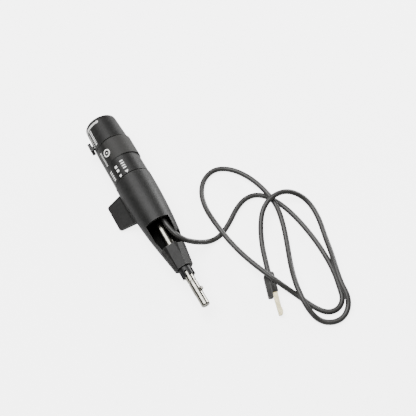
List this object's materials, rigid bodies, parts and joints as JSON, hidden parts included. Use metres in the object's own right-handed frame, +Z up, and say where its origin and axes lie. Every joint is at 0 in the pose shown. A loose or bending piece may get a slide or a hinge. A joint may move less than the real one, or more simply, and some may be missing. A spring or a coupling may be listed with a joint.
{
  "type": "steering column lever",
  "caption": "Steering column lever with a washer and turn signal paddle, turning wiper band, cruise slider and end button, push-in steel shaft, and a loose lead to a flat terminal.",
  "frame": {"origin": "On the surface that the lever lies on, under the middle of its box, with the lead and connector left out.", "axes": "+Z up; +Y along the lever towards its end button, with the steel shaft at -Y; +X towards the thumb pad, with the paddle at -X."},
  "size_m": [0.1472, 0.2412, 0.031],
  "materials": {
    "black_grip": "fine satin grain",
    "black_switch": "satin",
    "natural_nylon": "moulded nylon",
    "board": "laminated board",
    "contact_brass": "bright strip",
    "spring_steel": "drawn wire",
    "nickel_steel": "bright nickel with handling marks",
    "wire_insulation": "thin insulation",
    "lead_vinyl": "soft vinyl sheath",
    "boot_plastic": "moulded, worn edges",
    "terminal_metal": "pale plated strip"
  },
  "bodies": {
    "core": {"end_barrel": "black_grip", "inner_tube": "natural_nylon", "switch_base": "natural_nylon", "slider_board": "board", "board_contacts": "contact_brass", "button_contacts": "contact_brass", "core_wires": "wire_insulation", "lead_clip": "black_switch", "retaining_ring": "spring_steel", "button_spring": "spring_steel", "return_spring": "spring_steel", "lead": "lead_vinyl", "connector_boot": "boot_plastic", "terminal_blade": "terminal_metal"},
    "button": {"set_button": "black_switch", "button_disc": "contact_brass"},
    "slider": {"cruise_slider": "black_switch", "slider_contact": "contact_brass"},
    "wiper": {"wiper_band": "black_grip", "drive_hub": "natural_nylon", "hub_pin": "nickel_steel", "steel_shaft": "nickel_steel", "key_pin": "nickel_steel"},
    "washer": {"paddle_housing": "black_grip", "nose_collar": "black_switch"}
  },
  "joints": [
    {"name": "end_button_press", "type": "slide", "parent": "core", "child": "button", "axis": [0, -1, 0], "range_m": [0, 0.002], "stiffness_N_per_m": 500, "springref_m": -0.004, "deforming": ["button_spring"]},
    {"name": "cruise_slide", "type": "slide", "parent": "core", "child": "slider", "axis": [0, 1, 0], "range_m": [0, 0.007]},
    {"name": "wiper_turn", "type": "hinge", "parent": "core", "child": "wiper", "pos_m": [0.00565, 0, 0.0154], "axis": [0, -1, 0], "range_deg": [-81, 27]},
    {"name": "washer_twist", "type": "hinge", "parent": "core", "child": "washer", "pos_m": [0.00565, 0, 0.0154], "axis": [0, -1, 0], "range_deg": [-8, 0], "stiffness_Nm_per_rad": 0.8, "springref_deg": 8.59, "deforming": ["return_spring"]}
  ]
}
